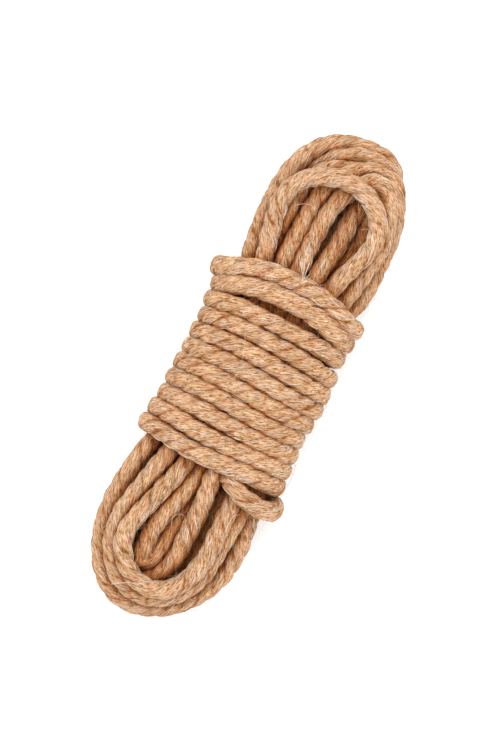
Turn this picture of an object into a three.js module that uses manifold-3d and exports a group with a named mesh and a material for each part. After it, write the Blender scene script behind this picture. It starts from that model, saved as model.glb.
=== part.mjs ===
// Hank of linen rope, lying on its back. One rope is laid in long loops, and its last length is wound
// round the waist of the loops. Millimetres, +Y along the hank, +Z up, origin under the middle.

import * as THREE from 'three';
import { mergeVertices } from 'three/addons/utils/BufferGeometryUtils.js';
import Module from 'manifold-3d';

const { degToRad, lerp, smoothstep } = THREE.MathUtils;

// Driving dimensions of the rope
const ROPE_DIAMETER = 6;
const ROPE_RADIUS = ROPE_DIAMETER / 2;
const PRESSED_DISTANCE = 0.94 * ROPE_DIAMETER; // between the middles of two ropes pressed together
const RESTING_FLAT_DEPTH = 0.35; // how far the rope's underside is pressed flat where the hank rests

// Heights along Y where the loops come out of the winding, and of the squeezed necks inside it
const UPPER_MOUTH = 35.7;
const UPPER_NECK = 26.2;
const LOWER_NECK = -22.7;
const LOWER_MOUTH = -32.9;
const UPPER_NECK_MIDDLE = 1.4; // in X
const LOWER_NECK_MIDDLE = -0.8;
const NECK_SQUEEZE = { across: 0.84, deep: 0.95 };
const FIRST_END_HEIGHT = 3.3; // the rope's first end lies hidden in the waist

// The strands of the loops in the two mouths, each as [x, z]
const STRANDS = {
  a: { upper: [-15.3, 20.0], lower: [-21.2, 19.0] },
  b: { upper: [-11.0, 24.8], lower: [-13.8, 24.0] },
  c: { upper: [-5.4, 25.0], lower: [-7.0, 25.0] },
  d: { upper: [-0.2, 25.0], lower: [-1.3, 24.6] },
  e: { upper: [5.6, 25.0], lower: [4.4, 24.6] },
  f: { upper: [12.1, 24.6], lower: [9.7, 24.4] },
  g: { upper: [17.5, 20.5], lower: [14.4, 21.0] },
  h: { upper: [21.8, 15.0], lower: [16.8, 15.5] },
  i: { upper: [-10.9, 19.8], lower: [-12.1, 18.8] },
  j: { upper: [-4.4, 18.8], lower: [-5.4, 18.8] },
  k: { upper: [1.3, 18.8], lower: [0.6, 18.8] },
  l: { upper: [7.3, 18.8], lower: [6.7, 18.8] },
  m: { upper: [-13.3, 13.6], lower: [-15.9, 13.6] },
  n: { upper: [-7.3, 13.4], lower: [-9.8, 13.4] },
  o: { upper: [-1.6, 13.4], lower: [-2.9, 13.4] },
  p: { upper: [4.1, 13.4], lower: [3.2, 13.4] },
  q: { upper: [13.0, 14.2], lower: [11.1, 14.2] },
  r: { upper: [-4.4, 8.6], lower: [-7.3, 8.6] },
  s: { upper: [1.3, 8.6], lower: [-0.3, 8.6] },
  t: { upper: [7.3, 8.6], lower: [6.0, 8.6] },
};

// The order in which the rope runs through the strands, the first one downwards
const STRAND_ORDER = 'osjleitnkdgbfchapmqr';

// The bends that join two strands: left shoulder, tip and right shoulder as [x, y, z], and how full
// the arch is (2 is an ellipse, more is squarer)
const UPPER_BENDS = [
  { joins: 'ap', left: [-16.6, 50.3, 19.5], tip: [9.5, 80.6, 12.5], right: [19.6, 54.8, 8.5], fullness: 2.32 },
  { joins: 'mq', left: [-14.3, 51.0, 13.5], tip: [8.0, 78.4, 18.0], right: [22.6, 52.2, 15.0], fullness: 2.25 },
  { joins: 'it', left: [-10.6, 53.2, 22.0], tip: [4.1, 74.5, 16.5], right: [13.7, 53.5, 7.5], fullness: 2.3 },
  { joins: 'ch', left: [-4.3, 53.5, 24.0], tip: [11.1, 75.1, 23.0], right: [22.2, 51.6, 21.0], fullness: 2.1 },
  { joins: 'dg', left: [-0.2, 50.0, 24.0], tip: [12.4, 72.7, 25.0], right: [20.6, 53.2, 24.5], fullness: 1.9 },
  { joins: 'bf', left: [-14.1, 53.8, 27.5], tip: [2.2, 68.6, 31.0], right: [18.7, 54.1, 28.5], fullness: 2.05 },
  { joins: 'el', left: [8.3, 51.0, 23.0], tip: [11.6, 66.0, 21.5], right: [14.6, 51.5, 19.8], fullness: 2.0 },
  { joins: 'nk', left: [-7.9, 51.6, 11.0], tip: [-0.3, 69.4, 12.0], right: [6.0, 53.5, 12.0], fullness: 2.1 },
  { joins: 'js', left: [-2.9, 50.0, 14.0], tip: [1.6, 62.7, 8.0], right: [4.1, 51.0, 5.0], fullness: 2.0 },
];
const LOWER_BENDS = [
  { joins: 'ah', left: [-24.2, -55.4, 17.0], tip: [-6.3, -81.6, 13.5], right: [19.1, -53.0, 15.5], fullness: 1.94 },
  { joins: 'bg', left: [-19.7, -57.9, 22.0], tip: [-3.5, -77.0, 19.5], right: [13.3, -54.8, 20.5], fullness: 2.1 },
  { joins: 'cf', left: [-15.8, -60.2, 26.0], tip: [-1.9, -74.3, 25.0], right: [10.6, -55.4, 25.5], fullness: 2.0 },
  { joins: 'dk', left: [-8.3, -56.5, 23.5], tip: [-7.9, -67.8, 21.0], right: [-2.6, -55.5, 20.5], fullness: 2.1 },
  { joins: 'ie', left: [-15.9, -57.9, 15.0], tip: [-6.0, -73.2, 18.5], right: [2.6, -55.0, 22.5], fullness: 2.0 },
  { joins: 'mp', left: [-19.7, -56.4, 10.5], tip: [-6.7, -77.3, 9.0], right: [6.0, -54.8, 9.0], fullness: 2.1 },
  { joins: 'nt', left: [-13.0, -56.4, 9.0], tip: [-2.9, -69.7, 5.0], right: [6.7, -53.2, 4.0], fullness: 2.1 },
  { joins: 'rq', left: [-9.8, -55.7, 4.0], tip: [2.9, -74.5, 5.0], right: [15.9, -53.8, 10.0], fullness: 2.1 },
  { joins: 'jl', left: [-7.0, -51.6, 14.0], tip: [0.0, -65.2, 13.0], right: [7.3, -53.2, 14.0], fullness: 2.1 },
  { joins: 'os', left: [-2.2, -46.8, 10.0], tip: [-1.0, -57.0, 8.0], right: [0.3, -50.0, 5.5], fullness: 2.0 },
];
const BEND_ANGLES = [0, 25, 50, 72]; // degrees, from a shoulder towards the tip

// The turns round the waist from the top down: outer edges in X, and the turn's height over its front
// from the left edge to the right one
const TURNS = [
  { left: -26.0, right: 26.7, heights: [27.8, 32.2, 32.7, 31.3, 26.5] },
  { left: -24.1, right: 25.7, heights: [22.9, 26.2, 26.9, 25.5, 22.0] },
  { left: -24.1, right: 25.4, heights: [17.6, 18.6, 18.0, 17.6, 16.6] },
  { left: -23.5, right: 25.6, heights: [11.9, 12.9, 12.4, 11.3, 9.4] },
  { left: -24.0, right: 25.9, heights: [6.5, 7.1, 6.5, 5.1, 3.7] },
  { left: -24.1, right: 25.6, heights: [1.1, 1.3, 0.5, -0.8, -1.7] },
  { left: -24.6, right: 24.8, heights: [-4.6, -4.3, -5.2, -6.5, -6.8] },
  { left: -24.9, right: 24.3, heights: [-10.0, -9.8, -11.0, -12.2, -12.2] },
  { left: -25.2, right: 24.3, heights: [-15.4, -15.7, -16.8, -17.6, -17.6] },
  { left: -26.2, right: 24.3, heights: [-20.8, -21.9, -23.2, -23.0, -23.0] },
  { left: -26.8, right: 23.7, heights: [-26.5, -28.1, -29.1, -28.6, -28.4] },
];
const TURN_FULLNESS = 2.7; // of the waist's section, where 2 is an ellipse
const TURN_BACK = ROPE_RADIUS - RESTING_FLAT_DEPTH; // height of the rope's middle over the floor
const TURN_FRONT = 31;
const POINTS_PER_HALF_TURN = 9;

// The rope's way on the back from the last strand to the first turn, as [x, y, z]
const LEAD_TO_TURNS = [
  [-4.1, 38.6, 6.2], [-7.0, 41.1, 4.0], [-11.1, 40.2, 3.1], [-14.3, 36.0, 3.0], [-17.1, 31.6, 3.2],
  [-20.3, 29.1, 6.0],
];

// The bight after the last turn: behind the waist, up through the lower mouth, over the right edge at
// the front, and back to a hidden end in the waist, as [x, y, z]
const LAST_BIGHT = [
  [21.4, -28.4, 17.0], [20.6, -28.9, 8.0], [16.8, -29.7, 3.3], [11.7, -30.6, 3.4], [7.6, -31.3, 7.0],
  [5.7, -31.1, 14.0], [5.4, -31.0, 21.0], [6.3, -31.4, 26.5], [8.9, -33.0, 29.3], [12.7, -35.1, 30.0],
  [17.5, -36.4, 29.3], [22.0, -36.7, 25.5], [24.2, -35.4, 18.0], [22.4, -33.8, 9.0], [19.4, -33.4, 4.6],
  [15.9, -32.9, 4.8], [12.7, -31.0, 9.0], [10.8, -28.4, 13.0],
];

// How the laid rope settles until no two lengths of it run through each other
const SETTLE = {
  step: 3, // between the rope's points
  rounds: 160,
  roundsPerSearch: 8,
  reach: 1.7 * ROPE_DIAMETER, // a search lists pairs nearer than this
  neighbours: 2.2 * ROPE_DIAMETER, // lengths nearer than this along the rope don't push each other
  push: 0.35,
  largestMove: 0.8,
  loopHold: new THREE.Vector3(0.03, 0.03, 0.004), // pull back to the laid route in each round
  turnHold: new THREE.Vector3(0.1, 0.1, 0.1),
};
const WAIST_TOP = 30; // between these heights the strands are hidden and don't push each other
const WAIST_BOTTOM = -27;

// The solid's tube and the filled waist inside the turns
const TUBE_SIDES = 7;
const TUBE_CORNER_RADIUS = 1.06 * ROPE_RADIUS;
const LARGEST_STEP = 12;
const LARGEST_TURN = degToRad(26);
const STEPS_PER_STRETCH = 6; // one closed solid each, short enough not to meet itself
const CORE = { width: 42, back: 3.6, front: 30, top: 29, bottom: -27, sides: 24 };
const BOX_MIDDLE = { x: 0, y: -0.21 }; // of the whole hank, in the tables' own coordinates

const ROPE_COLOUR = 0xcda078;

/** A quarter of an arch, from a shoulder up to just before the tip. */
function archQuarter(shoulder, tip, fullness) {
  return BEND_ANGLES.map((degrees) => {
    const angle = degToRad(degrees);
    const out = Math.cos(angle) ** (2 / fullness);
    const along = Math.sin(angle) ** (2 / fullness);
    return new THREE.Vector3(
      tip[0] + (shoulder[0] - tip[0]) * out,
      shoulder[1] + (tip[1] - shoulder[1]) * along,
      shoulder[2] + (tip[2] - shoulder[2]) * degrees / 90,
    );
  });
}

/** The points of the bend that joins two strands, in the direction in which the rope runs. */
function bendPoints(from, to, bends) {
  const bend = bends.find(({ joins }) => joins === from + to || joins === to + from);
  const points = [
    ...archQuarter(bend.left, bend.tip, bend.fullness),
    new THREE.Vector3(...bend.tip),
    ...archQuarter(bend.right, bend.tip, bend.fullness).reverse(),
  ];
  return bend.joins[0] === from ? points : points.reverse();
}

/** A strand's point in a neck, drawn in from where it lies in the mouth. */
function neckPoint([x, z], height, middle) {
  const centreHeight = (ROPE_RADIUS + TURN_FRONT) / 2;
  return new THREE.Vector3(
    middle + (x - middle) * NECK_SQUEEZE.across,
    height,
    centreHeight + (z - centreHeight) * NECK_SQUEEZE.deep,
  );
}

/** The points of a strand through the waist, from the upper mouth to the lower one. */
function strandPoints({ upper, lower }) {
  return [
    new THREE.Vector3(upper[0], UPPER_MOUTH, upper[1]),
    neckPoint(upper, UPPER_NECK, UPPER_NECK_MIDDLE),
    neckPoint(lower, LOWER_NECK, LOWER_NECK_MIDDLE),
    new THREE.Vector3(lower[0], LOWER_MOUTH, lower[1]),
  ];
}

/** The points of all loops, from the rope's first end to where it leaves the last strand. */
function loopPoints() {
  const points = [];
  [...STRAND_ORDER].forEach((name, index) => {
    const downwards = index % 2 === 0;
    const strand = strandPoints(STRANDS[name]);
    if (index === 0) strand.splice(0, 2, strand[1].clone().setY(FIRST_END_HEIGHT));
    points.push(...(downwards ? strand : strand.reverse()));
    const next = STRAND_ORDER[index + 1];
    if (next) points.push(...bendPoints(name, next, downwards ? LOWER_BENDS : UPPER_BENDS));
  });
  return points;
}

/** A smooth curve through evenly spaced values, for share 0 to 1. */
function smoothValue(values, share) {
  const last = values.length - 1;
  const index = Math.min(Math.floor(share * last), last - 1);
  const t = share * last - index;
  const [before, start, end, after] = [-1, 0, 1, 2].map((offset) => values[index + offset]);
  const slopeIn = before === undefined ? end - start : (end - before) / 2;
  const slopeOut = after === undefined ? end - start : (after - start) / 2;
  return (2 * t ** 3 - 3 * t ** 2 + 1) * start + (t ** 3 - 2 * t ** 2 + t) * slopeIn
    + (3 * t ** 2 - 2 * t ** 3) * end + (t ** 3 - t ** 2) * slopeOut;
}

/** Where a turn is at an angle round the waist: shares of the width from the left and of the height. */
function waistSection(angle) {
  const power = 2 / TURN_FULLNESS;
  const across = -Math.sign(Math.cos(angle)) * Math.abs(Math.cos(angle)) ** power;
  const up = Math.sign(Math.sin(angle)) * Math.abs(Math.sin(angle)) ** power;
  return { share: (across + 1) / 2, rise: (up + 1) / 2 };
}

/** The front half of a turn, from its left edge to its right edge. */
function frontOfTurn(turn) {
  const points = [];
  for (let i = 0; i < POINTS_PER_HALF_TURN; i += 1) {
    const { share, rise } = waistSection(Math.PI * i / POINTS_PER_HALF_TURN);
    const x = lerp(turn.left + ROPE_RADIUS, turn.right - ROPE_RADIUS, share);
    points.push(new THREE.Vector3(x, smoothValue(turn.heights, share), lerp(TURN_BACK, TURN_FRONT, rise)));
  }
  return points;
}

/** The back half of a turn, from its right edge to the left edge of the next turn. */
function backOfTurn(turn, next) {
  const points = [];
  for (let i = 0; i < POINTS_PER_HALF_TURN; i += 1) {
    const done = i / POINTS_PER_HALF_TURN;
    const { share, rise } = waistSection(Math.PI * (1 + done));
    const x = lerp(next.left + ROPE_RADIUS, turn.right - ROPE_RADIUS, share);
    const eased = (smoothstep(done, 0, 1) + done) / 2;
    const y = lerp(turn.heights.at(-1), next.heights[0], eased);
    points.push(new THREE.Vector3(x, y, lerp(TURN_BACK, TURN_FRONT, rise)));
  }
  return points;
}

/** The points of all turns round the waist. */
function turnPoints() {
  return TURNS.flatMap((turn, index) => {
    const next = TURNS[index + 1];
    return next ? [...frontOfTurn(turn), ...backOfTurn(turn, next)] : frontOfTurn(turn);
  });
}

/** The rope as it is laid: evenly spaced points, and the index where the winding begins. */
function laidRoute() {
  const loops = loopPoints();
  const controls = [
    ...loops,
    ...LEAD_TO_TURNS.map((point) => new THREE.Vector3(...point)),
    ...turnPoints(),
    ...LAST_BIGHT.map((point) => new THREE.Vector3(...point)),
  ];
  const curve = new THREE.CatmullRomCurve3(controls, false, 'centripetal');
  const divisionsPerControl = 20;
  curve.arcLengthDivisions = divisionsPerControl * (controls.length - 1);
  const lengths = curve.getLengths();
  const points = curve.getSpacedPoints(Math.round(lengths.at(-1) / SETTLE.step));
  const windingShare = lengths[divisionsPerControl * loops.length] / lengths.at(-1);
  return { points, windingStart: Math.round(windingShare * (points.length - 1)) };
}

/** The pairs of points, far apart along the rope, that lie near each other. */
function nearPairs(points, hidden) {
  const apart = Math.ceil(SETTLE.neighbours / SETTLE.step);
  const pairs = [];
  for (let i = 0; i < points.length; i += 1) {
    for (let j = i + apart + 1; j < points.length; j += 1) {
      const near = points[i].distanceToSquared(points[j]) < SETTLE.reach ** 2;
      if (near && !(hidden[i] && hidden[j])) pairs.push([i, j]);
    }
  }
  return pairs;
}

/** Moves that push the two points of each crowded pair apart. */
function pushes(points, pairs) {
  const moves = points.map(() => new THREE.Vector3());
  const away = new THREE.Vector3();
  for (const [i, j] of pairs) {
    away.subVectors(points[j], points[i]);
    const distance = away.length();
    if (distance >= PRESSED_DISTANCE) continue;
    away.multiplyScalar((PRESSED_DISTANCE - distance) * SETTLE.push / distance);
    moves[j].add(away);
    moves[i].sub(away);
  }
  return moves.map((move) => move.clampLength(0, SETTLE.largestMove));
}

/** Each value blended with the two beside it, so that the rope stays smooth. */
function smoothed(values) {
  return values.map((value, index) => {
    if (index === 0 || index === values.length - 1) return value;
    return values[index - 1].clone().add(values[index + 1]).multiplyScalar(0.25).addScaledVector(value, 0.5);
  });
}

/** The rope's points after it has settled, none lower than the floor lets it lie. */
function settledRoute({ points: laid, windingStart }) {
  const lowest = ROPE_RADIUS - RESTING_FLAT_DEPTH;
  const hidden = laid.map(({ y }, index) => index < windingStart && y < WAIST_TOP && y > WAIST_BOTTOM);
  const keep = [SETTLE.loopHold, SETTLE.turnHold].map((hold) => new THREE.Vector3(1, 1, 1).sub(hold));
  let shifts = laid.map(() => new THREE.Vector3());
  let pairs = [];
  for (let round = 0; round < SETTLE.rounds; round += 1) {
    const points = laid.map((point, index) => point.clone().add(shifts[index]));
    if (round % SETTLE.roundsPerSearch === 0) pairs = nearPairs(points, hidden);
    const moves = pushes(points, pairs);
    shifts = smoothed(smoothed(shifts.map((shift, index) => shift.clone().add(moves[index]))));
    shifts.forEach((shift, index) => {
      shift.multiply(keep[index < windingStart ? 0 : 1]);
      shift.z = Math.max(shift.z, lowest - laid[index].z);
    });
  }
  return laid.map((point, index) => point.clone().add(shifts[index]));
}

/** Fewer points: closer together in a bend than where the rope runs straight. */
function sparser(points) {
  const kept = [points[0]];
  let length = 0;
  let turned = 0;
  for (let i = 1; i < points.length - 1; i += 1) {
    const arriving = points[i].clone().sub(points[i - 1]);
    const leaving = points[i + 1].clone().sub(points[i]);
    length += arriving.length();
    turned += arriving.angleTo(leaving);
    if (length + leaving.length() > LARGEST_STEP || turned > LARGEST_TURN) {
      kept.push(points[i]);
      length = 0;
      turned = 0;
    }
  }
  return [...kept, points.at(-1)];
}

/** A path that an extrusion follows exactly from point to point, with the frames it is given. */
class Stretch extends THREE.Curve {
  constructor(points, frames) {
    super();
    this.points = points;
    this.frames = frames;
  }

  getSpacedPoints() {
    return this.points;
  }

  computeFrenetFrames() {
    return this.frames;
  }
}

/** Frames along the whole rope, which turn no more than the rope does. */
function framesAlong(points) {
  const curve = new THREE.CatmullRomCurve3(points, false, 'centripetal');
  curve.getUtoTmapping = (share) => share;
  return curve.computeFrenetFrames(points.length - 1, false);
}

/** A regular polygon as a shape. */
function polygon(sides, radius) {
  const corners = Array.from({ length: sides }, (_, index) => {
    const angle = 2 * Math.PI * (index + 0.5) / sides;
    return new THREE.Vector2(radius * Math.cos(angle), radius * Math.sin(angle));
  });
  return new THREE.Shape(corners);
}

/** The rope as closed stretches of tube that share their end faces. */
function ropeStretches(points) {
  const frames = framesAlong(points);
  const section = polygon(TUBE_SIDES, TUBE_CORNER_RADIUS);
  const stretches = [];
  for (let start = 0; start < points.length - 1; start += STEPS_PER_STRETCH) {
    const end = Math.min(start + STEPS_PER_STRETCH, points.length - 1);
    const part = (list) => list.slice(start, end + 1);
    const partFrames = {
      tangents: part(frames.tangents),
      normals: part(frames.normals),
      binormals: part(frames.binormals),
    };
    const extrudePath = new Stretch(part(points), partFrames);
    stretches.push(new THREE.ExtrudeGeometry(section, { steps: end - start, extrudePath }));
  }
  return stretches;
}

/** The strands inside the waist as one filled barrel, whose surface lies inside the turns' ropes. */
function waistCore() {
  const ring = Array.from({ length: CORE.sides }, (_, index) => {
    const { share, rise } = waistSection(2 * Math.PI * index / CORE.sides);
    return new THREE.Vector2((share - 0.5) * CORE.width, lerp(CORE.back, CORE.front, rise));
  });
  const depth = CORE.top - CORE.bottom;
  const core = new THREE.ExtrudeGeometry(new THREE.Shape(ring), { depth, bevelEnabled: false });
  return core.rotateX(Math.PI / 2).translate(0, CORE.top, 0);
}

/** A closed geometry as a solid that can be joined and cut. */
function solidOf(wasm, geometry) {
  geometry.deleteAttribute('normal');
  geometry.deleteAttribute('uv');
  const merged = mergeVertices(geometry, 1e-5);
  return new wasm.Manifold(new wasm.Mesh({
    numProp: 3,
    vertProperties: merged.attributes.position.array,
    triVerts: new Uint32Array(merged.index.array),
  }));
}

/** A solid as a geometry with flat faces. */
function geometryOf(solid) {
  const { vertProperties, triVerts } = solid.getMesh();
  const geometry = new THREE.BufferGeometry();
  geometry.setAttribute('position', new THREE.BufferAttribute(vertProperties, 3));
  geometry.setIndex(new THREE.BufferAttribute(triVerts, 1));
  geometry.computeVertexNormals();
  return geometry;
}

/** Everything below the floor, as a block to cut away. */
function belowFloor() {
  const size = 300;
  return new THREE.BoxGeometry(size, size, size).translate(0, 0, -size / 2);
}

const wasm = await Module();
wasm.setup();

const route = sparser(settledRoute(laidRoute()));
const pieces = [...ropeStretches(route), waistCore()].map((geometry) => solidOf(wasm, geometry));
const joined = wasm.Manifold.union(pieces).subtract(solidOf(wasm, belowFloor()));
const [rope] = joined.decompose().sort((one, other) => other.volume() - one.volume());

const ropeMaterial = new THREE.MeshStandardMaterial({ color: ROPE_COLOUR, roughness: 0.95, metalness: 0 });
const ropeHank = new THREE.Mesh(geometryOf(rope), ropeMaterial);
ropeHank.name = 'rope_hank';
ropeHank.position.set(-BOX_MIDDLE.x, -BOX_MIDDLE.y, 0);

const hank = new THREE.Group();
hank.add(ropeHank);

export default hank;
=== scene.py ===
import math

import bpy
import numpy as np
from mathutils.kdtree import KDTree
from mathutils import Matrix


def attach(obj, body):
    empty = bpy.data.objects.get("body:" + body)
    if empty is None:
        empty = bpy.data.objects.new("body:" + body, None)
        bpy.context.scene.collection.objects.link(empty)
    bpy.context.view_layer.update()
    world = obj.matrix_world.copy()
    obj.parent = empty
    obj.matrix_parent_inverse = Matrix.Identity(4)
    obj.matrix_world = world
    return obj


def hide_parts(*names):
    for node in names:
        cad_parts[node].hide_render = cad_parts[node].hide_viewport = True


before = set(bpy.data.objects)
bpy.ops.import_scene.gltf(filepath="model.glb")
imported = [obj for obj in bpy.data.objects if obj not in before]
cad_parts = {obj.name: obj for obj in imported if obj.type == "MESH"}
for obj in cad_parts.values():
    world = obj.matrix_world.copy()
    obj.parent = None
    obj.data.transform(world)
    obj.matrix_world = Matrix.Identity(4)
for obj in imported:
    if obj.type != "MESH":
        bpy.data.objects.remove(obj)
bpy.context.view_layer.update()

# A hank of three-strand linen rope. Its tables are in millimetres, and meshes are made in metres.
MM = 0.001

# Driving dimensions of the rope
ROPE_DIAMETER = 6.0
ROPE_RADIUS = ROPE_DIAMETER / 2
PRESSED_DISTANCE = 0.94 * ROPE_DIAMETER  # between the middles of two ropes pressed together
RESTING_FLAT_DEPTH = 0.35  # how far the rope's underside is pressed flat where the hank rests

# Heights along Y where the loops come out of the winding, and of the squeezed necks inside it
UPPER_MOUTH = 35.7
UPPER_NECK = 26.2
LOWER_NECK = -22.7
LOWER_MOUTH = -32.9
UPPER_NECK_MIDDLE = 1.4  # in X
LOWER_NECK_MIDDLE = -0.8
NECK_SQUEEZE_ACROSS = 0.84
NECK_SQUEEZE_DEEP = 0.95
FIRST_END_HEIGHT = 3.3  # the rope's first end lies hidden in the waist
BOX_MIDDLE = (0.0, -0.21, 0.0)  # of the whole hank, in the tables' own coordinates

# The strands of the loops in the two mouths: upper x, upper z, lower x, lower z
STRANDS = {
    "a": (-15.3, 20.0, -21.2, 19.0),
    "b": (-11.0, 24.8, -13.8, 24.0),
    "c": (-5.4, 25.0, -7.0, 25.0),
    "d": (-0.2, 25.0, -1.3, 24.6),
    "e": (5.6, 25.0, 4.4, 24.6),
    "f": (12.1, 24.6, 9.7, 24.4),
    "g": (17.5, 20.5, 14.4, 21.0),
    "h": (21.8, 15.0, 16.8, 15.5),
    "i": (-10.9, 19.8, -12.1, 18.8),
    "j": (-4.4, 18.8, -5.4, 18.8),
    "k": (1.3, 18.8, 0.6, 18.8),
    "l": (7.3, 18.8, 6.7, 18.8),
    "m": (-13.3, 13.6, -15.9, 13.6),
    "n": (-7.3, 13.4, -9.8, 13.4),
    "o": (-1.6, 13.4, -2.9, 13.4),
    "p": (4.1, 13.4, 3.2, 13.4),
    "q": (13.0, 14.2, 11.1, 14.2),
    "r": (-4.4, 8.6, -7.3, 8.6),
    "s": (1.3, 8.6, -0.3, 8.6),
    "t": (7.3, 8.6, 6.0, 8.6),
}

# The order in which the rope runs through the strands, the first one downwards
STRAND_ORDER = "osjleitnkdgbfchapmqr"

# The bends that join two strands: the strands, left shoulder, tip and right shoulder as (x, y, z), and
# how full the arch is (2 is an ellipse, more is squarer)
UPPER_BENDS = [
    ("ap", (-16.6, 50.3, 19.5), (9.5, 80.6, 12.5), (19.6, 54.8, 8.5), 2.32),
    ("mq", (-14.3, 51.0, 13.5), (8.0, 78.4, 18.0), (22.6, 52.2, 15.0), 2.25),
    ("it", (-10.6, 53.2, 22.0), (4.1, 74.5, 16.5), (13.7, 53.5, 7.5), 2.3),
    ("ch", (-4.3, 53.5, 24.0), (11.1, 75.1, 23.0), (22.2, 51.6, 21.0), 2.1),
    ("dg", (-0.2, 50.0, 24.0), (12.4, 72.7, 25.0), (20.6, 53.2, 24.5), 1.9),
    ("bf", (-14.1, 53.8, 27.5), (2.2, 68.6, 31.0), (18.7, 54.1, 28.5), 2.05),
    ("el", (8.3, 51.0, 23.0), (11.6, 66.0, 21.5), (14.6, 51.5, 19.8), 2.0),
    ("nk", (-7.9, 51.6, 11.0), (-0.3, 69.4, 12.0), (6.0, 53.5, 12.0), 2.1),
    ("js", (-2.9, 50.0, 14.0), (1.6, 62.7, 8.0), (4.1, 51.0, 5.0), 2.0),
]
LOWER_BENDS = [
    ("ah", (-24.2, -55.4, 17.0), (-6.3, -81.6, 13.5), (19.1, -53.0, 15.5), 1.94),
    ("bg", (-19.7, -57.9, 22.0), (-3.5, -77.0, 19.5), (13.3, -54.8, 20.5), 2.1),
    ("cf", (-15.8, -60.2, 26.0), (-1.9, -74.3, 25.0), (10.6, -55.4, 25.5), 2.0),
    ("dk", (-8.3, -56.5, 23.5), (-7.9, -67.8, 21.0), (-2.6, -55.5, 20.5), 2.1),
    ("ie", (-15.9, -57.9, 15.0), (-6.0, -73.2, 18.5), (2.6, -55.0, 22.5), 2.0),
    ("mp", (-19.7, -56.4, 10.5), (-6.7, -77.3, 9.0), (6.0, -54.8, 9.0), 2.1),
    ("nt", (-13.0, -56.4, 9.0), (-2.9, -69.7, 5.0), (6.7, -53.2, 4.0), 2.1),
    ("rq", (-9.8, -55.7, 4.0), (2.9, -74.5, 5.0), (15.9, -53.8, 10.0), 2.1),
    ("jl", (-7.0, -51.6, 14.0), (0.0, -65.2, 13.0), (7.3, -53.2, 14.0), 2.1),
    ("os", (-2.2, -46.8, 10.0), (-1.0, -57.0, 8.0), (0.3, -50.0, 5.5), 2.0),
]
BEND_ANGLES = (0, 25, 50, 72)  # degrees, from a shoulder towards the tip

# The turns round the waist from the top down: outer edges in X, left and right, and the turn's
# heights over its front from the left edge to the right one
TURNS = [
    (-26.0, 26.7, (27.8, 32.2, 32.7, 31.3, 26.5)),
    (-24.1, 25.7, (22.9, 26.2, 26.9, 25.5, 22.0)),
    (-24.1, 25.4, (17.6, 18.6, 18.0, 17.6, 16.6)),
    (-23.5, 25.6, (11.9, 12.9, 12.4, 11.3, 9.4)),
    (-24.0, 25.9, (6.5, 7.1, 6.5, 5.1, 3.7)),
    (-24.1, 25.6, (1.1, 1.3, 0.5, -0.8, -1.7)),
    (-24.6, 24.8, (-4.6, -4.3, -5.2, -6.5, -6.8)),
    (-24.9, 24.3, (-10.0, -9.8, -11.0, -12.2, -12.2)),
    (-25.2, 24.3, (-15.4, -15.7, -16.8, -17.6, -17.6)),
    (-26.2, 24.3, (-20.8, -21.9, -23.2, -23.0, -23.0)),
    (-26.8, 23.7, (-26.5, -28.1, -29.1, -28.6, -28.4)),
]
TURN_FULLNESS = 2.7  # of the waist's section, where 2 is an ellipse
TURN_BACK = ROPE_RADIUS - RESTING_FLAT_DEPTH  # height of the rope's middle over the floor
TURN_FRONT = 31.0  # and at the winding's front
POINTS_PER_HALF_TURN = 9

# The rope's way on the back from the last strand to the first turn, as (x, y, z)
LEAD_TO_TURNS = [
    (-4.1, 38.6, 6.2), (-7.0, 41.1, 4.0), (-11.1, 40.2, 3.1), (-14.3, 36.0, 3.0), (-17.1, 31.6, 3.2),
    (-20.3, 29.1, 6.0),
]

# The bight after the last turn: behind the waist, up through the lower mouth, over the right edge at
# the front, and back to a hidden end in the waist, as (x, y, z)
LAST_BIGHT = [
    (21.4, -28.4, 17.0), (20.6, -28.9, 8.0), (16.8, -29.7, 3.3), (11.7, -30.6, 3.4), (7.6, -31.3, 7.0),
    (5.7, -31.1, 14.0), (5.4, -31.0, 21.0), (6.3, -31.4, 26.5), (8.9, -33.0, 29.3), (12.7, -35.1, 30.0),
    (17.5, -36.4, 29.3), (22.0, -36.7, 25.5), (24.2, -35.4, 18.0), (22.4, -33.8, 9.0), (19.4, -33.4, 4.6),
    (15.9, -32.9, 4.8), (12.7, -31.0, 9.0), (10.8, -28.4, 13.0),
]

# How the laid rope settles until no two lengths of it run through each other
CURVE_STEPS = 20  # between two points of the tables
SETTLE_STEP = 3.0  # between the rope's points
SETTLE_ROUNDS = 160
ROUNDS_PER_SEARCH = 8
POINTS_PER_SEARCH = 400  # at a time
SETTLE_REACH = 1.7 * ROPE_DIAMETER  # a search lists pairs nearer than this
SETTLE_NEIGHBOURS = 2.2 * ROPE_DIAMETER  # lengths nearer than this along the rope don't push
SETTLE_PUSH = 0.35
LARGEST_MOVE = 0.8
LOOP_HOLD = (0.03, 0.03, 0.004)  # pull back to the laid route in each round
TURN_HOLD = (0.1, 0.1, 0.1)
WAIST_TOP = 30.0  # between these heights the strands are hidden and don't push each other
WAIST_BOTTOM = -27.0

# The three twisted plies that the rope is laid from
PLIES = 3
LAY_LENGTH = 17.0  # one whole twist, left-handed
PLY_OFFSET = 1.45  # from the rope's middle to the ply's
PLY_HALF_WIDTH = 2.0  # along the rope's surface
PLY_HALF_HEIGHT = 1.55  # from the rope's middle outwards
PLY_SIDES = 10
PLY_LUMPS = 0.12  # how uneven a ply's skin is
FINE_STEPS = 3  # of the fine centre line in each settling step
STEP_LENGTH = SETTLE_STEP / FINE_STEPS
PRESSED_SQUARENESS = 2.8  # of a turn's section between its neighbours, where 2 is round

# Slow random changes along the rope: how large, and how many fine steps apart
FULLNESS_CHANGE = (0.025, 20)  # share of the size
TWIST_CHANGE = (0.7, 35)  # radians
PLY_CHANGE = (0.07, 6)  # share of the size

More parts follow.
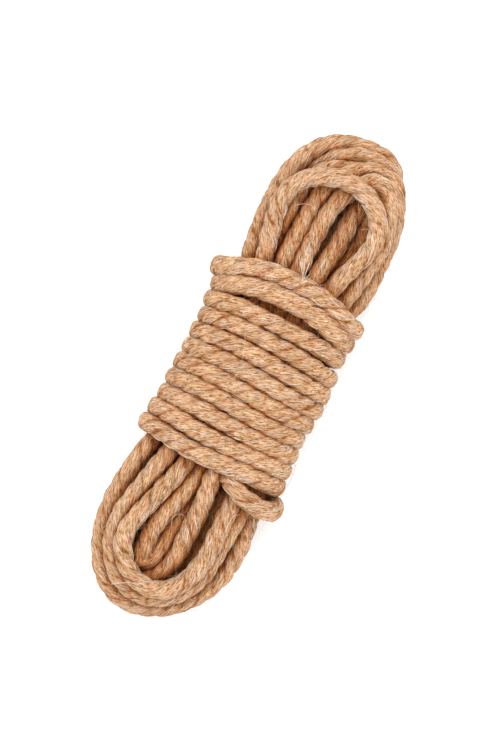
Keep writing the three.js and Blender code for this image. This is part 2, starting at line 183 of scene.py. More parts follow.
# Where the rope has opened up: which turn, how far the stretch's middle is from the turn's left edge,
# half the stretch's length, and the share by which the rope is fuller
FULLER_STRETCHES = [(0, 3.0, 12.0, 0.15), (1, 37.0, 40.0, 0.14)]

# How far other lengths of rope cover a place on the rope, and how much shade is painted into its colour
# there
NEAR_REACH = 12.0  # from the rope's middle to the other lengths that can block the outlook
OWN_LENGTH = 12.0  # nearer than this along the rope is the same length
LEAST_HEIGHT = 0.2  # of places for fibres over the floor
HEIGHT_CELL = 3.0  # size of the cells of a map of the hank's height
HEIGHT_CELLS = 80
CELLS_TO_SIDES = 4  # from a cell to those that may enclose it
SHADE_STARTS = -2.5  # how far a surface is below what encloses it when painted shade starts, and when it is full
SHADE_IS_FULL = 2.5
FULL_SHADE = 0.35
SIDE_SHADE_LIFT = 0.65  # how much less painted crevice shade there is at the winding's sides, where fuzz bridges the crevices
SIDE_SHADE_LIFT_DEPTH = 9.0  # below the winding's front, where it does so fully

# The bundles of fibres that lie in the rope's surface
BUNDLE_PIECES = 3
BUNDLES_PER_PIECE = 8400
BUNDLE_POINTS = 4
BUNDLE_LENGTHS = (1.5, 5.5)
BUNDLE_RADII = (0.05, 0.16)
THINNESS = 1.6  # the power that makes most bundles thin
BUNDLE_SPREAD = 0.8  # round a ply from its crest, in radians
BUNDLE_LIMIT = 1.8
LEAST_OPENNESS = 0.06  # where bundles are still seen
FIBRE_CLIMB = 0.31  # how fast a fibre crosses its ply, in radians for each millimetre
CLIMB_SPREAD = 0.16
BUNDLE_RISES = (-0.02, 0.16)  # of a bundle's middle over the skin
BUNDLE_ENDS = (-0.02, 0.09)  # mean height of its ends over the skin, and spread

# The hairs that stand off the rope. They grow where no other length is nearer than "reach" to a place
# "gap" over the skin, and leave it steeply by "lifts".
HAIR_SIDES = 3
HAIR_TAPER = 0.75
ROOT_DEPTH = 0.5
HAIR_SLANTS = (0.35, 0.45)  # to the rope's way: mean and spread
LOWEST_HAIR = 0.1
FUZZ = {
    "count": 8500, "points": 4, "reach": ROPE_RADIUS, "gap": 0.4, "lengths": (1.4, 4.2),
    "lifts": (0.2, 1.4), "curl": 0.34, "radii": (0.022, 0.048),
}
LONG_HAIRS = {
    "count": 380, "points": 11, "reach": ROPE_RADIUS + 0.3, "gap": 0.6, "lengths": (4.0, 10.0),
    "lifts": (0.1, 0.5), "curl": 0.24, "radii": (0.025, 0.05),
}

# Single strays on the front: radius, tone, how far above the rope, and places as (x, y)
STRAY_STEPS = 5  # between two places
STRAYS = [
    (0.20, 0.95, 0.3, [(0.3, 41.3), (1.3, 38.3), (2.5, 33.9)]),
    (0.18, 1.00, 0.3, [(2.2, 40.4), (2.4, 36.9), (2.7, 34.0)]),
    (0.20, 0.85, 0.3, [(-0.8, 39.5), (1.4, 36.5), (2.8, 33.0)]),
    (0.20, 0.95, 0.3, [(2.4, 33.3), (3.5, 34.6), (4.4, 36.4)]),
    (0.17, 0.90, 0.3, [(1.0, 36.8), (2.6, 36.2), (4.3, 36.3)]),
    (0.18, 0.80, 0.3, [(3.6, 37.2), (3.2, 35.0), (3.3, 32.6)]),
    (0.09, 1.00, 0.5, [(-9.1, 55.5), (-7.3, 56.7), (-5.1, 57.2), (-3.3, 56.6)]),
    (0.11, 0.95, 0.8, [(12.8, 56.8), (14.3, 57.7), (15.6, 56.6), (16.0, 53.9), (14.6, 51.4)]),
    (0.08, 0.90, 0.8, [
        (-3.5, -53.2), (-4.1, -50.6), (-2.5, -48.9), (-0.3, -49.3), (0.4, -51.9), (-1.0, -54.7),
    ]),
    (0.09, 1.00, 0.8, [(15.0, -41.2), (13.3, -42.3), (12.9, -44.3), (12.9, -47.0), (12.6, -50.2)]),
    (0.14, 0.90, 0.1, [(-13.2, -78.1), (-10.5, -76.4), (-7.9, -75.0), (-6.5, -74.7)]),
    (0.05, 0.10, 0.4, [(24.7, -19.5), (25.2, -24.6), (24.6, -28.6), (22.9, -31.8)]),
    (0.045, 0.75, 0.4, [(-7.4, 12.4), (-5.5, 7.3), (-4.4, 1.5), (-4.6, -4.2)]),
    (0.05, 0.70, 0.4, [(-3.4, 3.3), (-4.2, -2.4), (-2.9, -8.2)]),
    (0.05, 0.70, 0.4, [(-7.8, 8.0), (-6.0, 9.4), (-3.6, 9.2), (-1.9, 7.6)]),
    (0.05, 0.80, 0.4, [(6.8, 24.2), (9.2, 22.0), (12.1, 22.4)]),
    (0.045, 0.70, 0.4, [(20.8, 6.4), (21.6, 1.9), (21.0, -2.8)]),
    (0.32, 0.12, 0.0, [(-16.6, 5.9), (-15.9, 6.3)]),
    (0.34, 0.12, 0.0, [(-18.4, -28.6), (-17.3, -27.9)]),
    (0.30, 0.16, 0.0, [(-15.2, 32.0), (-14.1, 32.6)]),
    (0.26, 0.16, 0.0, [(11.0, -25.0), (10.2, -24.6)]),
    (0.22, 0.15, 0.1, [(-25.4, 29.6), (-25.6, 27.6), (-25.3, 25.4)]),
    (0.20, 0.17, 0.1, [(-24.7, 29.0), (-24.9, 27.2), (-24.8, 25.6)]),
    (0.18, 0.14, 0.1, [(-24.0, 28.4), (-24.3, 26.8), (-24.2, 25.2)]),
]

# Light, floor and camera, in metres and watts
WORLD_LIGHT = 1.2
SOFTBOXES = [
    ("softbox_left", (-0.6, 0.6, 1.9), 28.0),
    ("softbox_right", (0.9, -0.2, 1.7), 12.5),
]
SOFTBOX_SIZE = 1.2
FLOOR_SIZE = 6.0
FLOOR_LEVEL = -0.0001
FLOOR_WHITE = 0.96
CAMERA_DISTANCE = 1.6
VIEW_HEIGHT = 0.2381  # of the picture, at the hank's middle
VIEW_MIDDLE = (-0.0004, 0.0006, 0.020)
LEAN = math.radians(24.3)  # of the hank from the picture's upright

# Colours of the fibres, as stops of a ramp over noise or over a fibre's tone
SKIN_TONES = [
    (0.34, (0.120, 0.036, 0.008)),
    (0.43, (0.350, 0.160, 0.060)),
    (0.53, (0.575, 0.370, 0.225)),
    (0.68, (0.725, 0.580, 0.475)),
]
BUNDLE_TONES = [
    (0.00, (0.120, 0.036, 0.008)),
    (0.12, (0.310, 0.125, 0.038)),
    (0.17, (0.520, 0.270, 0.120)),
    (0.23, (0.520, 0.375, 0.210)),
    (0.42, (0.605, 0.430, 0.300)),
    (0.70, (0.680, 0.545, 0.450)),
    (0.90, (0.700, 0.600, 0.515)),
    (1.00, (0.735, 0.680, 0.620)),
]
LOOSE_TONES = [
    (0.00, (0.180, 0.070, 0.022)),
    (0.15, (0.440, 0.210, 0.080)),
    (0.25, (0.570, 0.420, 0.290)),
    (0.60, (0.640, 0.500, 0.375)),
    (0.90, (0.690, 0.560, 0.435)),
    (1.00, (0.770, 0.660, 0.535)),
]
FLECK_COLOUR = (0.19, 0.065, 0.02, 1.0)
FLECK_SHARES = [(0.63, (0.0, 0.0, 0.0)), (0.69, (0.85, 0.85, 0.85))]

# By which colours are multiplied, as stops of a ramp: over noise along yarns and in patches; and, as
# painted shade, over how open the outlook is and over how near a place is to the crest of its ply
YARN_SHADES = [(0.3, (0.86, 0.80, 0.72)), (0.7, (1.06, 1.05, 1.04))]
PATCH_SHADES = [(0.3, (0.88, 0.84, 0.80)), (0.7, (1.06, 1.05, 1.04))]
HUE_SHADES = [(0.35, (1.03, 0.96, 0.94)), (0.5, (1.0, 1.0, 1.0)), (0.65, (0.97, 1.02, 0.95))]
# Painted shade: colours made darker and redder where other lengths of rope block the outlook
PAINTED_CREVICE_SHADES = [
    (0.00, (0.36, 0.115, 0.022)),
    (0.35, (0.72, 0.45, 0.24)),
    (0.80, (0.99, 0.95, 0.90)),
    (1.00, (1.00, 1.00, 1.00)),
]
# Painted shade: colours made darker and redder, unevenly, in the grooves between plies
PAINTED_GROOVE_SHADES = [
    (0.00, (0.62, 0.40, 0.21)),
    (0.25, (0.87, 0.77, 0.66)),
    (0.50, (1.00, 1.00, 1.00)),
]
GROOVE_UNEVENNESS = 2.4

# How often noise changes: for each millimetre along and across the fibres, and for each metre of space
FINE_NOISE = (0.6, 3.0, 1.0)
YARN_NOISE = (0.12, 0.9, 1.0)
FLECK_NOISE = (0.6, 2.2, 1.0)
PATCH_NOISE = (160.0, 160.0, 160.0)
HUE_NOISE = (330.0, 330.0, 330.0)

# The fibres' surface
BUMP_HEIGHT = 0.5  # of the plies' skin
YARN_BUMP = 0.8  # share of the yarn noise in it
FIBRE_ROUGHNESS = 0.85
SHEEN = 0.1
SHEEN_ROUGHNESS = 0.5
SHEEN_TINT = (1.0, 0.82, 0.64, 1.0)

# Seeds of the random changes and of everything that is spread at random
FULLNESS_SEED = 3
TWIST_SEED = 4
FIRST_PLY_SEED = 20
FIRST_LUMPS_SEED = 40
rng = np.random.default_rng(11)


def arch_quarter(shoulder, tip, fullness):
    """A quarter of an arch, from a shoulder up to just before the tip."""
    points = []
    for degrees in BEND_ANGLES:
        angle = math.radians(degrees)
        out = math.cos(angle) ** (2 / fullness)
        along = math.sin(angle) ** (2 / fullness)
        points.append((
            tip[0] + (shoulder[0] - tip[0]) * out,
            shoulder[1] + (tip[1] - shoulder[1]) * along,
            shoulder[2] + (tip[2] - shoulder[2]) * degrees / 90,
        ))
    return points


def bend_points(start, end, bends):
    """The points of the bend that joins two strands, in the direction in which the rope runs."""
    joins, left, tip, right, fullness = next(row for row in bends if set(row[0]) == {start, end})
    points = arch_quarter(left, tip, fullness) + [tip] + arch_quarter(right, tip, fullness)[::-1]
    return points if joins[0] == start else points[::-1]


def neck_point(x, z, height, middle):
    """A strand's point in a neck, drawn in from where it lies in the mouth."""
    centre_height = (ROPE_RADIUS + TURN_FRONT) / 2
    across = middle + (x - middle) * NECK_SQUEEZE_ACROSS
    return across, height, centre_height + (z - centre_height) * NECK_SQUEEZE_DEEP


def strand_points(name):
    """The points of a strand through the waist, from the upper mouth to the lower one."""
    upper_x, upper_z, lower_x, lower_z = STRANDS[name]
    return [
        (upper_x, UPPER_MOUTH, upper_z),
        neck_point(upper_x, upper_z, UPPER_NECK, UPPER_NECK_MIDDLE),
        neck_point(lower_x, lower_z, LOWER_NECK, LOWER_NECK_MIDDLE),
        (lower_x, LOWER_MOUTH, lower_z),
    ]


def loop_points():
    """The points of all loops, from the rope's first end to where it leaves the last strand."""
    points = []
    for index, name in enumerate(STRAND_ORDER):
        downwards = index % 2 == 0
        strand = strand_points(name)
        if index == 0:
            strand[:2] = [(strand[1][0], FIRST_END_HEIGHT, strand[1][2])]
        points += strand if downwards else strand[::-1]
        if index + 1 < len(STRAND_ORDER):
            bends = LOWER_BENDS if downwards else UPPER_BENDS
            points += bend_points(name, STRAND_ORDER[index + 1], bends)
    return points


def smooth_value(values, share):
    """A smooth curve through evenly spaced values, for share 0 to 1."""
    last = len(values) - 1
    index = min(int(share * last), last - 1)
    t = share * last - index
    start, end = values[index], values[index + 1]
    slope_in = (end - values[index - 1]) / 2 if index > 0 else end - start
    slope_out = (values[index + 2] - start) / 2 if index + 2 <= last else end - start
    rise = 3 * t ** 2 - 2 * t ** 3
    leaving = t ** 3 - 2 * t ** 2 + t
    arriving = t ** 3 - t ** 2
    return (1 - rise) * start + rise * end + leaving * slope_in + arriving * slope_out


def waist_section(angle):
    """Where a turn is at an angle round the waist: share of the width from the left, and height."""
    power = 2 / TURN_FULLNESS
    across = -math.copysign(abs(math.cos(angle)) ** power, math.cos(angle))
    up = math.copysign(abs(math.sin(angle)) ** power, math.sin(angle))
    return (across + 1) / 2, TURN_BACK + (TURN_FRONT - TURN_BACK) * (up + 1) / 2


def turn_points():
    """The points of all turns round the waist: front halves from the left, back halves from the right."""
    points = []
    for index, (left, right, heights) in enumerate(TURNS):
        right_middle = right - ROPE_RADIUS
        for i in range(POINTS_PER_HALF_TURN):
            share, z = waist_section(math.pi * i / POINTS_PER_HALF_TURN)
            left_middle = left + ROPE_RADIUS
            x = left_middle + (right_middle - left_middle) * share
            points.append((x, smooth_value(heights, share), z))
        if index + 1 == len(TURNS):
            break
        next_left, _, next_heights = TURNS[index + 1]
        for i in range(POINTS_PER_HALF_TURN):
            done = i / POINTS_PER_HALF_TURN
            share, z = waist_section(math.pi * (1 + done))
            left_middle = next_left + ROPE_RADIUS
            x = left_middle + (right_middle - left_middle) * share
            eased = (done ** 2 * (3 - 2 * done) + done) / 2
            points.append((x, heights[-1] + (next_heights[0] - heights[-1]) * eased, z))
    return points


def curve_pieces(points, per_piece):
    """Points on the centripetal Catmull-Rom curve through points, the same number in each piece."""
    ends = np.vstack([2 * points[0] - points[1], points, 2 * points[-1] - points[-2]])
    a, b, c, d = (ends[k:len(ends) - 3 + k, None] for k in range(4))
    t1 = np.linalg.norm(b - a, axis=2, keepdims=True) ** 0.5
    t2 = t1 + np.linalg.norm(c - b, axis=2, keepdims=True) ** 0.5
    t3 = t2 + np.linalg.norm(d - c, axis=2, keepdims=True) ** 0.5
    t = t1 + (t2 - t1) * (np.arange(per_piece) / per_piece)[None, :, None]
    ab = ((t1 - t) * a + t * b) / t1
    bc = ((t2 - t) * b + (t - t1) * c) / (t2 - t1)
    cd = ((t3 - t) * c + (t - t2) * d) / (t3 - t2)
    abc = ((t2 - t) * ab + t * bc) / t2
    bcd = ((t3 - t) * bc + (t - t1) * cd) / (t3 - t1)
    curve = ((t2 - t) * abc + (t - t1) * bcd) / (t2 - t1)
    return np.vstack([curve.reshape(-1, 3), points[-1]])


def laid_route():
    """The rope as it is laid: evenly spaced points, and where the winding and each of its turns begin."""
    loops = loop_points()
    controls = np.array(loops + LEAD_TO_TURNS + turn_points() + LAST_BIGHT)
    curve = curve_pieces(controls, CURVE_STEPS)
    lengths = np.r_[0, np.cumsum(np.linalg.norm(np.diff(curve, axis=0), axis=1))]
    count = round(lengths[-1] / SETTLE_STEP) + 1
    even = np.linspace(0, lengths[-1], count)
    points = np.column_stack([np.interp(even, lengths, curve[:, axis]) for axis in range(3)])
    first_turn = len(loops) + len(LEAD_TO_TURNS)
    starts = [len(loops)] + [first_turn + 2 * POINTS_PER_HALF_TURN * turn for turn in range(len(TURNS))]
    return points, [round(lengths[CURVE_STEPS * k] / lengths[-1] * (count - 1)) for k in starts]


def near_pairs(points, hidden):
    """The pairs of points, far apart along the rope, that lie near each other."""
    apart = math.ceil(SETTLE_NEIGHBOURS / SETTLE_STEP)
    firsts, seconds = [], []
    for start in range(0, len(points), POINTS_PER_SEARCH):
        block = points[start:start + POINTS_PER_SEARCH]
        squares = ((block[:, None] - points[None]) ** 2).sum(axis=2)
        i, j = np.nonzero(squares < SETTLE_REACH ** 2)
        i += start
        kept = (j - i > apart) & ~(hidden[i] & hidden[j])
        firsts.append(i[kept])
        seconds.append(j[kept])
    return np.concatenate(firsts), np.concatenate(seconds)


def pushes(points, firsts, seconds):
    """Moves that push the two points of each crowded pair apart."""
    away = points[seconds] - points[firsts]
    distance = np.linalg.norm(away, axis=1)
    crowding = np.clip(PRESSED_DISTANCE - distance, 0, None) * SETTLE_PUSH
    away *= (crowding / distance)[:, None]
    moves = np.zeros_like(points)
    np.add.at(moves, seconds, away)
    np.add.at(moves, firsts, -away)
    sizes = np.linalg.norm(moves, axis=1, keepdims=True)
    return moves * np.minimum(1, LARGEST_MOVE / np.maximum(sizes, LARGEST_MOVE / 100))


def settled_route():
    """The rope's points after it has settled, none lower than the floor lets it lie, and the starts."""
    laid, starts = laid_route()
    lowest = ROPE_RADIUS - RESTING_FLAT_DEPTH
    in_loops = np.arange(len(laid)) < starts[0]
    hidden = in_loops & (laid[:, 1] < WAIST_TOP) & (laid[:, 1] > WAIST_BOTTOM)
    keep = 1 - np.where(in_loops[:, None], LOOP_HOLD, TURN_HOLD)
    shifts = np.zeros_like(laid)
    for turn in range(SETTLE_ROUNDS):
        points = laid + shifts
        if turn % ROUNDS_PER_SEARCH == 0:
            firsts, seconds = near_pairs(points, hidden)
        shifts += pushes(points, firsts, seconds)
        for _ in range(2):
            shifts[1:-1] = 0.25 * shifts[:-2] + 0.5 * shifts[1:-1] + 0.25 * shifts[2:]
        shifts *= keep
        shifts[:, 2] = np.maximum(shifts[:, 2], lowest - laid[:, 2])
    return laid + shifts - np.array(BOX_MIDDLE), starts


def unit(vectors):
    """Vectors along the last axis, made one long."""
    return vectors / np.linalg.norm(vectors, axis=-1, keepdims=True)


def frames_along(points):
    """Tangents, and normals that turn no more than the curve does, with their binormals."""
    tangents = unit(np.gradient(points, axis=0))
    normals = np.zeros_like(points)
    start = np.cross(tangents[0], (0.0, 0.0, 1.0))
    normals[0] = start / np.linalg.norm(start)
    for k in range(1, len(points)):
        carried = normals[k - 1] - tangents[k] * np.dot(normals[k - 1], tangents[k])
        normals[k] = carried / np.linalg.norm(carried)
    return tangents, normals, np.cross(tangents, normals)


def slow_noise(count, change, seed):
    """Smooth random values along the rope; change is their size and how many points apart they change."""
    size, spacing = change
    knots = np.random.default_rng(seed).uniform(-1, 1, count // spacing + 3)
    places = np.arange(count) / spacing
    index = places.astype(int)
    blend = places - index
    blend = blend * blend * (3 - 2 * blend)
    return size * (knots[index] * (1 - blend) + knots[index + 1] * blend)


class Rope:
    """The rope's fine centre line with its frames, in millimetres."""

    def __init__(self):
        route, starts = settled_route()
        self.points = curve_pieces(route, FINE_STEPS)
        self.count = len(self.points)
        self.tangents, self.normals, self.binormals = frames_along(self.points)
        steps = np.linalg.norm(np.diff(self.points, axis=0), axis=1)
        self.along = np.r_[0, np.cumsum(steps)]
        self.fullness = 1 + slow_noise(self.count, FULLNESS_CHANGE, FULLNESS_SEED)
        for turn, middle, half_length, extra in FULLER_STRETCHES:
            away = (np.arange(self.count) - starts[1 + turn] * FINE_STEPS) * STEP_LENGTH - middle
            self.fullness += extra * np.cos(math.pi / 2 * np.clip(away / half_length, -1, 1)) ** 0.7
        uneven_twist = slow_noise(self.count, TWIST_CHANGE, TWIST_SEED)
        self.twist = -2 * math.pi * self.along / LAY_LENGTH + uneven_twist
        winding = np.arange(self.count) > starts[1] * FINE_STEPS
        self.squareness = winding * (1 - np.abs(self.tangents[:, 1])) ** 2

    def pressed(self, points, rings):
        """Points on the rope's surface, moved out where it is pressed square between its neighbours."""
        away = points - self.points[rings]
        tangents = self.tangents[rings]
        sideways = unit(np.array((0.0, 1.0, 0.0)) - tangents * tangents[..., 1:2])
        across = (away * sideways).sum(axis=-1)
        outwards = (away * np.cross(tangents, sideways)).sum(axis=-1)
        size = np.hypot(across, outwards)
        power = PRESSED_SQUARENESS
        spread = (np.abs(across) ** power + np.abs(outwards) ** power) ** (1 / power) / size
        growth = 1 + self.squareness[rings] * (1 / spread - 1)
        return self.points[rings] + away * growth[..., None]

    def outwards(self, angles, rings=slice(None)):
        """Unit vectors out of the rope's side at angles, one for each of the rings."""
        cosines = np.cos(angles)[:, None]
        sines = np.sin(angles)[:, None]
        return cosines * self.normals[rings] + sines * self.binormals[rings]


def new_mesh_object(name, vertices, faces, material):
    """An object of a mesh, given in millimetres, that rides on the hank's one body."""
    mesh = bpy.data.meshes.new(name)
    mesh.from_pydata((np.asarray(vertices) * MM).tolist(), [], faces)
    mesh.polygons.foreach_set("use_smooth", [True] * len(mesh.polygons))
    mesh.materials.append(material)
    piece = bpy.data.objects.new(name, mesh)
    bpy.context.collection.objects.link(piece)
    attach(piece, "root")
    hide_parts("rope_hank")
    return piece


class Ply:
    """One of the rope's twisted plies: its middle line, and the directions across it."""

    def __init__(self, rope, number):
        self.out = rope.outwards(rope.twist + 2 * math.pi * number / PLIES)
        self.rope = rope
        self.swell = rope.fullness * (1 + slow_noise(rope.count, PLY_CHANGE, FIRST_PLY_SEED + number))
        self.middles = rope.points + self.out * (PLY_OFFSET * rope.fullness)[:, None]
        self.side = unit(np.cross(unit(np.gradient(self.middles, axis=0)), self.out))

    def surface(self, places, around, lift):
        """Points on the ply at places along the rope, in steps, lifted off its skin."""
        low = places.astype(int)
        blend = (places - low)[..., None]

        def at(values):
            return values[low] * (1 - blend) + values[low + 1] * blend

        swell = self.swell[low] + (self.swell[low + 1] - self.swell[low]) * blend[..., 0]
        height = (PLY_HALF_HEIGHT * swell + lift) * np.cos(around)
        width = (PLY_HALF_WIDTH * swell + lift) * np.sin(around)
        points = at(self.middles) + at(self.out) * height[..., None] + at(self.side) * width[..., None]
        return self.rope.pressed(points, low)


def make_ply(spots, ply, number, material):
    """One ply as a swept lumpy oval, with a map of its fibres."""
    rope = spots.rope
    around = 2 * math.pi * np.arange(PLY_SIDES) / PLY_SIDES
    places = np.minimum(np.arange(rope.count), rope.count - 1.001)[:, None]
    lumps_rng = np.random.default_rng(FIRST_LUMPS_SEED + number)
    lumps = lumps_rng.normal(0, PLY_LUMPS, (rope.count, PLY_SIDES))
    lumps[1:-1] = (lumps[:-2] + 2 * lumps[1:-1] + lumps[2:]) / 4
    shape = (rope.count, PLY_SIDES)
    rings = ply.surface(np.broadcast_to(places, shape), np.broadcast_to(around, shape), lumps)
    rings[:, :, 2] = np.maximum(rings[:, :, 2], 0)
    faces = ring_faces(rope.count, PLY_SIDES)
    piece = new_mesh_object(f"rope_ply_{number + 1}", rings.reshape(-1, 3), faces, material)
    add_fibre_map(piece, rope, around)
    # The crest and open values set the painted shade in grooves and crevices
    add_values(piece, "crest", np.broadcast_to(np.cos(around), shape))
    openness = [spots.openness(ring, rings[ring]) for ring in range(rope.count)]
    add_values(piece, "open", np.array(openness))


def ring_faces(rings, sides):
    """Quads between rings of vertices, and the two end faces."""
    faces = []
    for ring in range(rings - 1):
        low, high = ring * sides, (ring + 1) * sides
        for k in range(sides):
            after = (k + 1) % sides
            faces.append((low + k, high + k, high + after, low + after))
    faces.append(tuple(range(sides)))
    faces.append(tuple((rings - 1) * sides + k for k in reversed(range(sides))))
    return faces


def add_fibre_map(piece, rope, around):
    """A map in millimetres: along the rope, and across the fibres, which slant over the ply."""
    half_size = (PLY_HALF_WIDTH + PLY_HALF_HEIGHT) / 2
    ring, corner = np.divmod(np.arange((rope.count - 1) * PLY_SIDES), PLY_SIDES)
    along = rope.along[np.stack([ring, ring + 1, ring + 1, ring], axis=1)]
    corners = np.stack([corner, corner, corner + 1, corner + 1], axis=1)
    across = (np.r_[around, 2 * math.pi][corners] - FIBRE_CLIMB * along) * half_size
    quads = np.stack([along, across], axis=2).ravel()
    flat = np.zeros(len(piece.data.loops) * 2, dtype=np.float32)
    flat[:len(quads)] = quads
    piece.data.uv_layers.new(name="Fibres").data.foreach_set("uv", flat)


def add_values(piece, name, values):
    """A number for each of a piece's points."""
    attribute = piece.data.attributes.new(name, "FLOAT", "POINT")
    attribute.data.foreach_set("value", np.ravel(values).astype(np.float32))


def swept_hairs(paths, radii):
    """Vertices and faces of thin tapered tubes along paths, of shape hairs by points by 3."""
    hairs, count = paths.shape[:2]
    tangents = unit(np.gradient(paths, axis=1))
    helper = np.where(np.abs(tangents[:, :1, 2:]) > 0.8, (1.0, 0.0, 0.0), (0.0, 0.0, 1.0))
    first = unit(np.cross(tangents, np.broadcast_to(helper, tangents.shape)))
    second = np.cross(tangents, first)
    taper = 1 - HAIR_TAPER * np.linspace(0, 1, count) ** 2
    size = radii[:, None, None, None] * taper[None, :, None, None]
    around = 2 * math.pi * np.arange(HAIR_SIDES) / HAIR_SIDES
    rings = paths[:, :, None] + size * (
        first[:, :, None] * np.cos(around)[None, None, :, None]
        + second[:, :, None] * np.sin(around)[None, None, :, None]
    )
    one = np.array(ring_faces(count, HAIR_SIDES)[:-2])
    per_hair = count * HAIR_SIDES
    starts = (np.arange(hairs) * per_hair)[:, None, None]
    quads = (one[None] + starts).reshape(-1, 4)
    low = np.arange(HAIR_SIDES)[None] + starts[:, 0]
    high = (per_hair - 1 - np.arange(HAIR_SIDES))[None] + starts[:, 0]
    return rings.reshape(-1, 3), quads.tolist() + low.tolist() + high.tolist()


class OpenSpots:
    """Finds how far other lengths of rope cover a place on the rope, which sets where fibres grow and
    where shade is painted.
    """

    def __init__(self, rope):
        self.rope = rope
        self.known = {}
        self.tree = KDTree(rope.count)
        for index, point in enumerate(rope.points):
            self.tree.insert(point, index)
        self.tree.balance()
        self.enclosing = self.enclosing_heights()

    def enclosing_heights(self):
        """For each cell of a map, how high the rope encloses it on both its sides, in X and in Y."""
        heights = np.zeros((HEIGHT_CELLS, HEIGHT_CELLS))
        np.maximum.at(heights, self.cells(self.rope.points), self.rope.points[:, 2])
        for axis in (0, 1, 0, 1):
            sides = [np.roll(heights, step, axis) for step in (-1, 1)]
            heights = np.maximum(heights, np.maximum(*sides))
        steps = (-CELLS_TO_SIDES, CELLS_TO_SIDES)
        lower_sides = [np.minimum(*[np.roll(heights, step, axis) for step in steps]) for axis in (0, 1)]
        return (lower_sides[0] + lower_sides[1]) / 2

    def cells(self, points):
        """Which cells of the height map points are over."""
        return tuple((points[:, :2] / HEIGHT_CELL + HEIGHT_CELLS / 2).astype(int).T)

    def others(self, ring):
        """The middles of other lengths of the rope near ring, kept for the next call."""
        if ring not in self.known:
            near = self.tree.find_range(self.rope.points[ring], NEAR_REACH)
            own = OWN_LENGTH / STEP_LENGTH
            others = [index for _, index, _ in near if abs(index - ring) > own]
            self.known[ring] = self.rope.points[others]
        return self.known[ring]

    def is_open(self, ring, point, reach):
        """True if a point on the rope at ring is further than reach from all other lengths."""
        squares = ((self.others(ring) - point) ** 2).sum(axis=1)
        return point[2] > LEAST_HEIGHT and not (squares < reach ** 2).any()

    def openness(self, ring, points):
        """For points on the rope at ring, the share of their outlook that no other length blocks, lowered
        where the rope lies below what encloses it and raised at the winding's sides; it sets the painted
        crevice shade.
        """
        outs = unit(points - self.rope.points[ring])
        away = self.others(ring)[None] - points[:, None]
        distances = np.linalg.norm(away, axis=2)
        facing = np.clip((away * outs[:, None]).sum(axis=2) / distances, 0, None)
        blocked = (facing / distances ** 2).sum(axis=1) * ROPE_DIAMETER * STEP_LENGTH / math.pi
        # Painted shade is deeper where the surface lies below what encloses it, and lessened at the
        # winding's sides
        below = self.enclosing[self.cells(points)] - points[:, 2] - SHADE_STARTS
        shade = FULL_SHADE * np.clip(below / (SHADE_IS_FULL - SHADE_STARTS), 0, 1)
        openness = np.clip(1 - blocked, 0, 1) * (1 - shade * np.clip(0.5 + outs[:, 2], 0, 1))
        at_side = np.clip((TURN_FRONT + ROPE_RADIUS - points[:, 2]) / SIDE_SHADE_LIFT_DEPTH, 0, 1) ** 2
        return openness + (1 - openness) * SIDE_SHADE_LIFT * at_side * self.rope.squareness[ring]

    def random_spots(self, wanted, reach, lift):
        """Rings, angles and openness of random open spots on the rope's surface, lifted off it."""
        rings, angles, openness = [], [], []
        while len(rings) < wanted:
            ring = int(rng.integers(2, self.rope.count - 2))
            angle = rng.uniform(0, 2 * math.pi)
            out = math.cos(angle) * self.rope.normals[ring] + math.sin(angle) * self.rope.binormals[ring]
            point = self.rope.points[ring] + out * (ROPE_RADIUS + lift)
            if self.is_open(ring, point, reach):
                rings.append(ring)
                angles.append(angle)
                openness.append(self.openness(ring, point[None])[0])
        return np.array(rings), np.array(angles), np.array(openness)

    def top(self, x, y):
        """The height of the rope's upper surface over a place, or of the winding's sides beside it."""
        squares = ((self.rope.points[:, :2] - (x, y)) ** 2).sum(axis=1)
        covering = squares < ROPE_RADIUS ** 2
        heights = self.rope.points[covering, 2] + np.sqrt(ROPE_RADIUS ** 2 - squares[covering])
        return max(heights, default=TURN_FRONT / 2)


def bundle_spots(plies, spots):
    """For each ply, the middles of its bundles: ring, angle round the ply, and how open it is there."""
    chosen = [[] for _ in plies]
    longest = BUNDLE_LENGTHS[1] / STEP_LENGTH
    total = 0
    while total < BUNDLES_PER_PIECE:
        which = int(rng.integers(PLIES))
        middle = rng.uniform(longest, spots.rope.count - longest - 2)
        around = rng.normal(0, BUNDLE_SPREAD)
        point = plies[which].surface(np.array([middle]), np.array([around]), 0.1)
        openness = spots.openness(int(middle), point)[0]
        seen = openness > LEAST_OPENNESS and point[0, 2] > LEAST_HEIGHT
        if seen and abs(around) < BUNDLE_LIMIT:
            chosen[which].append((middle, around, openness))
            total += 1
    return [np.array(rows) for rows in chosen]


